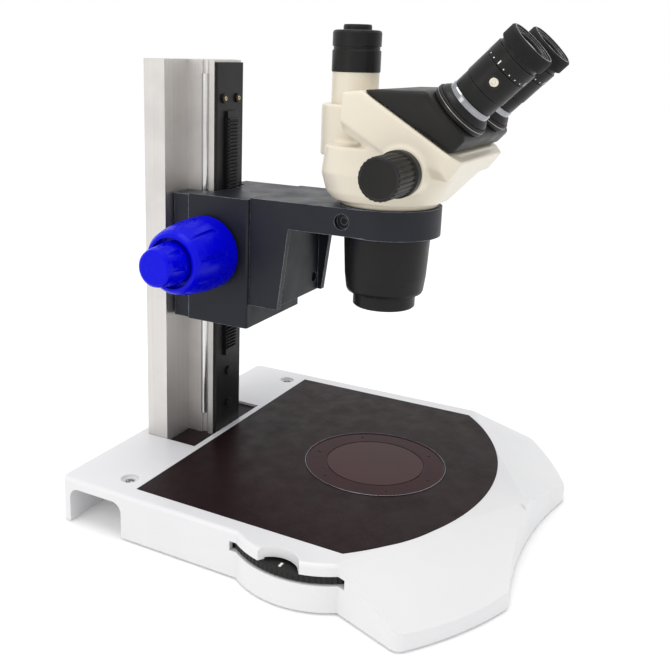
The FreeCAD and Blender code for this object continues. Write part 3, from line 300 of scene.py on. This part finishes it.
def blue_plastic():
    """Saturated blue moulded plastic with a gloss, faint flow marks, and a brighter blue along its edges:
    scuffs together with a painted highlight.
    """
    surface = Surface("blue_moulded_plastic", 0.26, specular=0.13)
    flow = surface.remap(surface.noise(28.0, 4.0), 0.3, 0.7, 0.0, 1.0)
    tone = surface.mix(flow, (0.0, 0.0, 0.62), (0.0, 0.0, 0.56))
    # painted highlight with scuffs: a brighter blue along the edges
    surface.colour(surface.edge_wear_and_highlight(tone, (0.02, 0.03, 0.95), 0.25))
    surface.rough(surface.noise(70.0, 6.0), 0.2, 0.36)
    surface.soft_edges(0.0007)
    surface.relief(surface.noise(500.0, 3.0), 0.08, 0.0003)
    return surface.material


def painted_light_ring_plastic():
    """The stage ring: glossy dark acrylic, clouded, tinted wine-red as painted light: the maroon cast of
    light falling from above.
    """
    surface = Surface("stage_ring_acrylic", 0.16, specular=0.08)
    clouds = surface.remap(surface.noise(40.0, 4.0), 0.3, 0.7, 0.0, 1.0)
    # painted light: the wine-red of these dark tones is the maroon cast of light from above
    surface.colour(surface.mix(clouds, (0.030, 0.003, 0.006), (0.020, 0.002, 0.004)))
    surface.rough(surface.noise(80.0, 6.0), 0.12, 0.24)
    surface.soft_edges(0.0004)
    surface.relief(surface.noise(300.0, 3.0), 0.04, 0.0002)
    return surface.material


def clear_glass(name, colour, roughness, transmission):
    """Glass with faint smears in its gloss."""
    surface = Surface(name, roughness, specular=0.06)
    surface.set("Transmission Weight", transmission)
    smears = surface.remap(surface.noise(35.0, 5.0), 0.3, 0.7, 0.0, 1.0)
    surface.colour(surface.mix(smears, colour, tuple(0.9 * part for part in colour)))
    surface.rough(surface.noise(50.0, 6.0), roughness, roughness + 0.05)
    return surface.material


def coated_lens():
    """An eye lens: nearly black glass with a violet coating."""
    surface = Surface("coated_eye_lens", 0.04, coat=1.0)
    clouds = surface.remap(surface.noise(60.0, 3.0), 0.3, 0.7, 0.0, 1.0)
    surface.colour(surface.mix(clouds, (0.012, 0.008, 0.022), (0.006, 0.006, 0.012)))
    surface.rough(surface.noise(90.0, 5.0), 0.03, 0.08)
    return surface.material


def white_ink():
    """Printed white marks, slightly worn."""
    surface = Surface("white_ink", 0.5)
    wear = surface.remap(surface.noise(700.0, 3.0), 0.4, 0.7, 0.0, 1.0)
    surface.colour(surface.mix(wear, (0.82, 0.81, 0.78), (0.55, 0.54, 0.52)))
    surface.relief(surface.noise(900.0, 2.0), 0.1, 0.0001)
    return surface.material


def make_materials():
    """Every material by its slot or its use."""
    return {
        "base_enamel": enamel("base_enamel", (0.70, 0.70, 0.71), (0.66, 0.665, 0.68), (0.85, 0.85, 0.85)),
        "head_enamel": enamel("head_enamel", (0.70, 0.645, 0.53), (0.66, 0.60, 0.49), (0.85, 0.81, 0.72)),
        # The slate's pale blue-grey edge colour, mixed in at 0.9, is a painted highlight along its edges,
        # broken into patches like rubbing.
        "slate_enamel": textured_black("slate_enamel", (0.015, 0.017, 0.023), (0.011, 0.012, 0.017), 420.0,
                                       0.4, (0.42, 0.47, 0.52), 0.9),
        "black_plate": speckled_plate(),
        "black_metal": textured_black("satin_black_metal", (0.011, 0.010, 0.010), (0.006, 0.006, 0.006),
                                      900.0, 0.36, strength=0.12),
        "black_plastic": textured_black("grained_black_plastic", (0.014, 0.013, 0.012), (0.008, 0.008, 0.008),
                                        750.0, 0.44),
        "rubber": textured_black("matt_rubber", (0.012, 0.012, 0.012), (0.007, 0.007, 0.007), 500.0, 0.7,
                                 (0.08, 0.08, 0.08)),
        "anodised_aluminium": brushed_metal("anodised_aluminium", (0.66, 0.64, 0.62), (0.60, 0.585, 0.57),
                                            0.46, (1400.0, 1400.0, 4.0), 0.04),
        "steel": brushed_metal("ground_steel", (0.72, 0.71, 0.70), (0.55, 0.55, 0.55), 0.16,
                               (500.0, 500.0, 12.0), 0.05),
        # The chrome's dark grey colour is painted shade: darker than chrome's own, it stands in for the dark
        # surroundings the chrome reflects.
        "chrome": brushed_metal("chrome", (0.36, 0.37, 0.39), (0.22, 0.23, 0.25), 0.16,
                                (60.0, 60.0, 60.0), 0.02),
        # Thin grey metal rings along the turret and eyecup edges.
        "grey_metal": brushed_metal("grey_edge_lines", (0.36, 0.36, 0.36), (0.25, 0.25, 0.26), 0.3,
                                    (80.0, 80.0, 80.0), 0.05),
        "screw_silver": brushed_metal("plated_screw", (0.72, 0.68, 0.58), (0.55, 0.50, 0.42), 0.3,
                                      (200.0, 200.0, 200.0), 0.1),
        "brass_screw": brushed_metal("machined_brass", (0.62, 0.48, 0.26), (0.45, 0.34, 0.18), 0.28,
                                     (300.0, 300.0, 300.0)),
        "blue_plastic": blue_plastic(),
        "stage_ring_plastic": painted_light_ring_plastic(),
        # The stage window's dark wine-red colour is painted light: the maroon cast of light falling from
        # above.
        "clear_glass": clear_glass("stage_window_glass", (0.05, 0.004, 0.007), 0.05, 0.3),
        "mirror": brushed_metal("silvered_mirror", (0.85, 0.85, 0.86), (0.8, 0.8, 0.82), 0.07,
                                (30.0, 30.0, 30.0), 0.0),
        "coated_glass": coated_lens(),
        "white_ink": white_ink(),
    }


def assign_materials(materials):
    """Each CAD node takes the material of its slot; the base and the head differ in tone."""
    special = {"base_casting": "base_enamel", "head_casting": "head_enamel", "phototube": "head_enamel",
               "objective_lens": "coated_glass", "rack_plate_screws": "black_metal"}
    for part in frame["record"]["subparts"]:
        node = nodes[part["node"]]
        key = special.get(part["node"], part["material_slot"])
        node.data.materials.clear()
        node.data.materials.append(materials[key])


# ---------------------------------------------------------------- mesh helpers

def piece_from(name, mesh_builder, material, body):
    """A new piece from a bmesh, riding on a body."""
    mesh = bpy.data.meshes.new(name)
    mesh_builder.to_mesh(mesh)
    mesh_builder.free()
    mesh.materials.append(material)
    piece = bpy.data.objects.new(name, mesh)
    bpy.context.scene.collection.objects.link(piece)
    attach(piece, body)
    return piece


def shade_by_angle(mesh, degrees):
    """Smooth shading except across sharp edges."""
    for polygon in mesh.polygons:
        polygon.use_smooth = True
    limit = math.radians(degrees)
    work = bmesh.new()
    work.from_mesh(mesh)
    for edge in work.edges:
        edge.smooth = len(edge.link_faces) == 2 and edge.calc_face_angle(0.0) < limit
    work.to_mesh(mesh)
    work.free()


def lathe(work, profile, origin, axis, steps=96):
    """Adds a ring-shaped solid: a closed profile of (radius, height) turned about an axis."""
    axis = Vector(axis).normalized()
    side = axis.orthogonal().normalized()
    other = axis.cross(side)
    rings = []
    for step in range(steps):
        angle = 2 * math.pi * step / steps
        outward = side * math.cos(angle) + other * math.sin(angle)
        rings.append([work.verts.new(Vector(origin) + outward * radius + axis * height)
                      for radius, height in profile])
    count = len(profile)
    for step in range(steps):
        this, following = rings[step], rings[(step + 1) % steps]
        for index in range(count):
            after = (index + 1) % count
            work.faces.new((this[index], following[index], following[after], this[after]))


def box_at(work, centre, axes, halves):
    """Adds a small box: its centre, its three directions and its half sizes."""
    corners = []
    for signs in [(x, y, z) for x in (-1, 1) for y in (-1, 1) for z in (-1, 1)]:
        offset = sum((axis * half * sign for axis, half, sign in zip(axes, halves, signs)), Vector())
        corners.append(work.verts.new(Vector(centre) + offset))
    for quad in ((0, 1, 3, 2), (4, 6, 7, 5), (0, 4, 5, 1), (2, 3, 7, 6), (0, 2, 6, 4), (1, 5, 7, 3)):
        work.faces.new([corners[index] for index in quad])


def profile_mm(points, radius=0.0):
    """A lathe profile in metres, from (radius, height) points in millimetres beyond a radius."""
    return [(radius + out * MM, height * MM) for out, height in points]


def centre_of(node):
    low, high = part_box(node)
    return (low + high) / 2


# ---------------------------------------------------------------- details
# Stations are distances along an eyepiece's axis from where it leaves the head, in millimetres.

UP = (0, 0, 1)
EYE_AXIS = Vector((0.0, -math.sqrt(0.5), math.sqrt(0.5)))
EYE_CROSS = Vector((0.0, math.sqrt(0.5), math.sqrt(0.5)))
SIDES = ("left", "right")
BARREL_MIDDLE = 37.5
LOCK_SCREW_STATION = 38.5
LOCK_SCREW_DEPTH = 18.2
LOCK_SCREW_TILT = math.radians(-15)

RING_SCREW_CIRCLE = 53
RING_SCREW_ANGLES = (36, 96, 149, 213, 262, 316)

TICK_COUNT = 20
TICKS_PER_LONG = 5
TICK_RADIUS = 18.58
TICK_FOOT = -5.6
TICK_HALF_LENGTH = 0.45
LONG_TICK_HALF_LENGTH = 1.6
TICK_HALF_WIDTH = 0.42
TICK_HALF_DEPTH = 0.06

PLATE_SCREW_RADIUS = 4.2

COVER_FACE = 33.16
COVER_FOOT = 10.8
COVER_DROP = 1.1
COVER_ROUNDING = 4
COVER_SQUARE_BELOW = 8

SHELL_VOXEL = 1.1
SHELL_SMOOTHING_ROUNDS = 9

WHEEL_MARK_INSET = 5.5
WHEEL_MARK_HALVES = (2.6, 1.0, 0.08)


def add_stage_rim(materials):
    """The thin bright rim round the stage ring, and six screws in the ring."""
    low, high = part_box("stage_ring")
    centre = Vector(((low.x + high.x) / 2, (low.y + high.y) / 2, high.z))
    outer = (high.x - low.x) / 2
    rim_points = [(-1.3, -0.4), (-0.1, -0.4), (-0.1, -0.05), (-0.5, 0.0), (-1.0, 0.0), (-1.3, -0.2)]
    work = bmesh.new()
    lathe(work, profile_mm(rim_points, outer), centre, UP, 128)
    rim = piece_from("stage_ring_rim", work, materials["chrome"], "base")
    shade_by_angle(rim.data, 30)

    screw_points = [(0.5, -0.7), (1.5, -0.7), (1.5, -0.3), (1.2, -0.1), (0.9, -0.1), (0.5, -0.5)]
    work = bmesh.new()
    for degrees in RING_SCREW_ANGLES:
        angle = math.radians(degrees)
        spot = centre + Vector((math.cos(angle), math.sin(angle), 0)) * RING_SCREW_CIRCLE * MM
        lathe(work, profile_mm(screw_points), spot, UP, 20)
    screws = piece_from("stage_ring_screws", work, materials["black_metal"], "base")
    shade_by_angle(screws.data, 30)


def add_dioptre_ticks(materials):
    """White ticks round each dioptre ring, with every fifth one long."""
    side = Vector((1, 0, 0))
    up = EYE_AXIS.cross(side).normalized()
    for name in SIDES:
        middle = centre_of(f"diopter_ring_{name}")
        work = bmesh.new()
        for number in range(TICK_COUNT):
            angle = 2 * math.pi * (number + 0.5) / TICK_COUNT
            outward = side * math.cos(angle) + up * math.sin(angle)
            along = EYE_AXIS.cross(outward)
            is_long = number % TICKS_PER_LONG == TICKS_PER_LONG - 1
            half = (LONG_TICK_HALF_LENGTH if is_long else TICK_HALF_LENGTH) * MM
            spot = middle + outward * TICK_RADIUS * MM + EYE_AXIS * (TICK_FOOT * MM + half)
            box_at(work, spot, (along, EYE_AXIS, outward), (TICK_HALF_WIDTH * MM, half, TICK_HALF_DEPTH * MM))
        piece_from(f"dioptre_ticks_{name}", work, materials["white_ink"], f"dioptre_{name}")


def add_plate_screw_sockets(materials):
    """The brass-coloured sockets in the two upper screws of the rack plate."""
    low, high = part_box("rack_plate_screws")
    head_r = PLATE_SCREW_RADIUS * MM
    socket_points = [(0.7, 0.0), (2.0, 0.0), (1.8, 0.35), (1.1, 0.4), (0.7, 0.1)]
    work = bmesh.new()
    for x in (low.x + head_r, high.x - head_r):
        lathe(work, profile_mm(socket_points), (x, low.y, high.z - head_r), (0, -1, 0), 24)
    sockets = piece_from("plate_screw_sockets", work, materials["brass_screw"], "base")
    shade_by_angle(sockets.data, 30)


def add_lock_screws(materials):
    """Each eyepiece's lock screw: a bright dimpled head in a dark seat on the outer side."""
    seat_points = [(3.4, 0.0), (5.0, -0.6), (5.0, 0.5), (4.3, 0.6), (3.6, 0.3)]
    head_points = [(0.05, -0.5), (3.4, -0.5), (3.4, 0.9), (2.9, 1.3), (1.5, 1.35), (1.3, 0.9), (0.05, 0.9)]
    for sign, side in ((-1, "left"), (1, "right")):
        body = f"eyepiece_{side}"
        outward = Vector((sign * math.cos(LOCK_SCREW_TILT), 0, 0)) + EYE_CROSS * math.sin(LOCK_SCREW_TILT)
        spot = eye_foot(side) + EYE_AXIS * LOCK_SCREW_STATION * MM + outward * LOCK_SCREW_DEPTH * MM
        work = bmesh.new()
        lathe(work, profile_mm(seat_points), spot, outward, 32)
        seat = piece_from(f"lock_screw_seat_{side}", work, materials["black_metal"], body)
        shade_by_angle(seat.data, 30)
        work = bmesh.new()
        lathe(work, profile_mm(head_points), spot, outward, 32)
        head = piece_from(f"lock_screw_head_{side}", work, materials["screw_silver"], body)
        shade_by_angle(head.data, 30)
        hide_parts(f"lock_screw_{side}")


def add_cover(materials):
    """The black top cover with softly rounded edges, in place of the plain CAD cover."""
    low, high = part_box("head_cover")
    face = COVER_FACE * MM
    outline = [(high.y, high.z - COVER_DROP * MM), (low.y + face, high.z), (low.y, high.z - face),
               (low.y + COVER_FOOT * MM, low.z)]
    work = bmesh.new()
    ends = [[work.verts.new((x, y, z)) for y, z in outline] for x in (low.x, high.x)]
    work.faces.new(ends[0])
    work.faces.new(list(reversed(ends[1])))
    for index in range(len(outline)):
        after = (index + 1) % len(outline)
        work.faces.new((ends[0][after], ends[0][index], ends[1][index], ends[1][after]))
    bmesh.ops.recalc_face_normals(work, faces=work.faces)
    rounded = []
    for edge in work.edges:
        first, second = edge.verts
        is_high = max(first.co.z, second.co.z) > low.z + COVER_SQUARE_BELOW * MM
        runs_across = abs(first.co.x - second.co.x) > 1 * MM
        if is_high or runs_across:
            rounded.append(edge)
    bmesh.ops.bevel(work, geom=rounded, offset=COVER_ROUNDING * MM, segments=5, profile=0.5, affect="EDGES")
    cover = piece_from("cover_shell", work, materials["black_plastic"], "head")
    shade_by_angle(cover.data, 40)
    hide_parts("head_cover")


def add_head_shell(materials):
    """The head casting with its edges blended like a cast and painted part."""
    casting = nodes["head_casting"]
    copy = bpy.data.objects.new("head_blend", casting.data.copy())
    bpy.context.scene.collection.objects.link(copy)
    blend = copy.modifiers.new("blend", "REMESH")
    blend.mode = "VOXEL"
    blend.voxel_size = SHELL_VOXEL * MM
    soften = copy.modifiers.new("soften", "SMOOTH")
    soften.factor = 0.5
    soften.iterations = SHELL_SMOOTHING_ROUNDS
    bpy.context.view_layer.update()
    evaluated = copy.evaluated_get(bpy.context.evaluated_depsgraph_get())
    work = bmesh.new()
    work.from_mesh(evaluated.to_mesh())
    evaluated.to_mesh_clear()
    bpy.data.objects.remove(copy)
    shell = piece_from("head_shell", work, materials["head_enamel"], "head")
    for polygon in shell.data.polygons:
        polygon.use_smooth = True
    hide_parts("head_casting")


def add_wheel_mark(materials):
    """The white index mark on the thumbwheel's upper face."""
    low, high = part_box("mirror_wheel")
    centre = (low + high) / 2
    radius = (high.x - low.x) / 2
    spot = (centre.x - radius + WHEEL_MARK_INSET * MM, centre.y, high.z)
    axes = (Vector((1, 0, 0)), Vector((0, 1, 0)), Vector((0, 0, 1)))
    work = bmesh.new()
    box_at(work, spot, axes, [half * MM for half in WHEEL_MARK_HALVES])
    piece_from("wheel_index_mark", work, materials["white_ink"], "wheel")


def eye_foot(name):
    """Where an eyepiece's axis leaves the head: the origin of the stations along it."""
    return centre_of(f"eyepiece_barrel_{name}") - EYE_AXIS * BARREL_MIDDLE * MM


def add_turned_piece(name, points, side, material, body):
    """A ring turned about an eyepiece's axis, from (radius, station) points in millimetres."""
    work = bmesh.new()
    lathe(work, profile_mm(points), eye_foot(side), EYE_AXIS)
    piece = piece_from(f"{name}_{side}", work, material, f"{body}_{side}")
    shade_by_angle(piece.data, 30)


def add_eyepiece_details(materials):
    """Turret lines, the sleeve above the bright collar, and the stepped mouth of each eyecup."""
    black, grey = materials["black_metal"], materials["grey_metal"]
    turret_line = [(23.6, 3.5), (24.06, 3.5), (24.1, 3.8), (24.06, 4.1), (23.6, 4.1)]
    flared_skirt = [(18.4, 6.6), (22.4, 6.6), (22.2, 7.8), (20.2, 10.4), (18.9, 11.4), (18.4, 11.4)]
    sleeve = [(16.9, 16.4), (17.6, 16.4), (17.9, 17.0), (17.9, 27.4), (16.9, 27.4)]
    step = [(11.4, 67.6), (17.6, 67.6), (17.0, 71.9), (14.9, 71.9), (14.6, 71.0), (11.8, 71.0), (11.4, 70.6)]
    mouth_line = [(16.4, 71.8), (16.9, 71.8), (16.9, 72.15), (16.4, 72.15)]
    inner_line = [(14.2, 70.9), (14.7, 70.9), (14.7, 71.3), (14.2, 71.3)]
    rim_line = [(17.5, 72.9), (18.1, 72.95), (18.1, 73.2), (17.5, 73.15)]
    lens = [(0.05, 68.6), (11.5, 68.6), (11.5, 69.0), (9.0, 69.9), (5.0, 70.5), (0.05, 70.7)]
    for side in SIDES:
        add_turned_piece("turret_line", turret_line, side, grey, "eyepiece")
        add_turned_piece("turret_skirt", flared_skirt, side, black, "eyepiece")
        add_turned_piece("tube_sleeve", sleeve, side, black, "eyepiece")
        add_turned_piece("eyecup_step", step, side, black, "dioptre")
        add_turned_piece("eyecup_mouth_line", mouth_line, side, grey, "dioptre")
        add_turned_piece("eyecup_inner_line", inner_line, side, grey, "dioptre")
        add_turned_piece("eyecup_rim_line", rim_line, side, grey, "dioptre")
        add_turned_piece("eye_lens_front", lens, side, materials["coated_glass"], "dioptre")


make_camera()
make_studio()
materials = make_materials()
assign_materials(materials)
add_stage_rim(materials)
add_dioptre_ticks(materials)
add_wheel_mark(materials)
add_eyepiece_details(materials)
add_plate_screw_sockets(materials)
add_lock_screws(materials)
add_cover(materials)
add_head_shell(materials)
